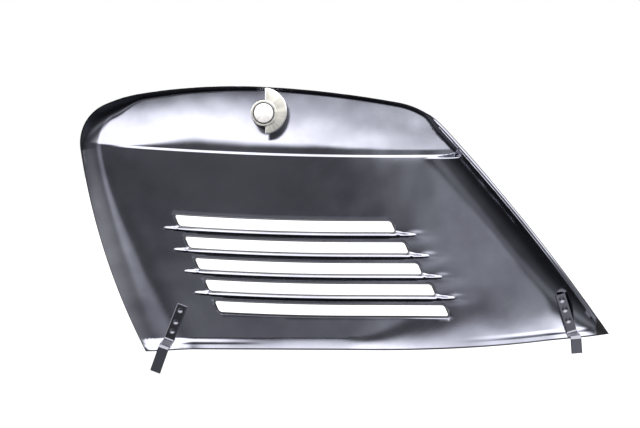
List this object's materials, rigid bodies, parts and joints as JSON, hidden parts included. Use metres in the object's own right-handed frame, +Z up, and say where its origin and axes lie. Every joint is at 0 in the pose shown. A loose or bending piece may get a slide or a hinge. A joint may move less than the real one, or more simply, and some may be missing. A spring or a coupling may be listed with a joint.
{
  "type": "scooter engine cover",
  "caption": "Dished sheet-steel engine side door for a small scooter, with a bank of long air slots, bent hooks along its lower edge and a turn latch near its top edge.",
  "frame": {"origin": "where the latch's axis crosses the plane of the cover's rim", "axes": "+X along the cover from its rounded front end to its pointed rear end, +Y out of the scooter through the cover, +Z up"},
  "size_m": [0.4216, 0.0474, 0.2272],
  "materials": {
    "dark_coat": "semi-gloss black dip coat",
    "bright_plate": "plated, turned",
    "dark_steel": "blackened",
    "black_rubber": "matt"
  },
  "bodies": {
    "cover": {"cover_panel": "dark_coat", "front_hook": "dark_coat", "rear_hook": "dark_coat", "latch_bush": "dark_steel", "latch_pad": "black_rubber"},
    "latch": {"latch_knob": "bright_plate", "latch_cam": "bright_plate", "latch_ring": "dark_steel", "latch_pin": "dark_steel", "latch_spring": "dark_steel"}
  },
  "joints": [
    {"name": "latch_turn", "type": "hinge", "parent": "cover", "child": "latch", "pos_m": [0, 0, 0], "axis": [0, -1, 0], "range_deg": [-90, 90]}
  ]
}
